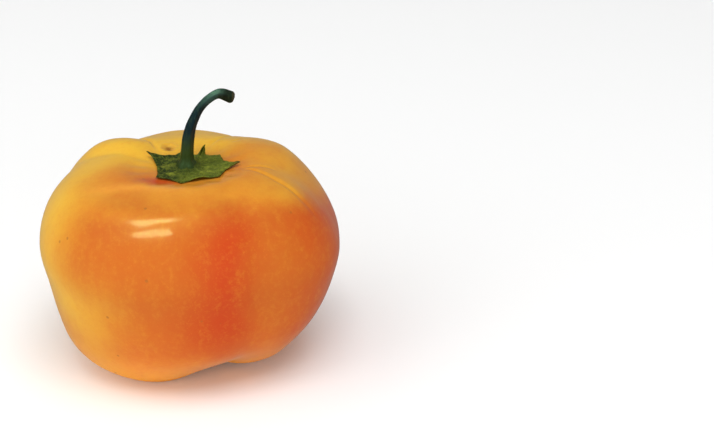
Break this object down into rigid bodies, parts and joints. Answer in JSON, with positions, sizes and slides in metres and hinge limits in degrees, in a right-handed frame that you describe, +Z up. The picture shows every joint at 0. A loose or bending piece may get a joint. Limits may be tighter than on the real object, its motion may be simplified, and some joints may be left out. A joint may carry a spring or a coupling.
{
  "type": "chilli pepper",
  "caption": "Squat, round, lobed chilli pepper, orange with yellow shoulders and a red blush, with its green toothed calyx and short bent stem, standing on the ends of its lobes.",
  "frame": {"origin": "under the middle of the whole pepper's bounding box, on the surface that it stands on", "axes": "+Z up along the pod's axis towards the stem; -Y is the side with the broadest lobe and the red blush; the stem's end bends towards +X"},
  "size_m": [0.0688, 0.0668, 0.0667],
  "materials": {
    "skin": "smooth waxy skin, satin gloss, orange blending to yellow on the shoulders and red in the front groove",
    "calyx_green": "matte, mottled yellow-green leaf with darker veins and edge",
    "stem_green": "dark green, softly ribbed, slight sheen"
  },
  "bodies": {
    "root": {"pod": "skin", "calyx": "calyx_green", "stem": "stem_green"}
  },
  "joints": []
}
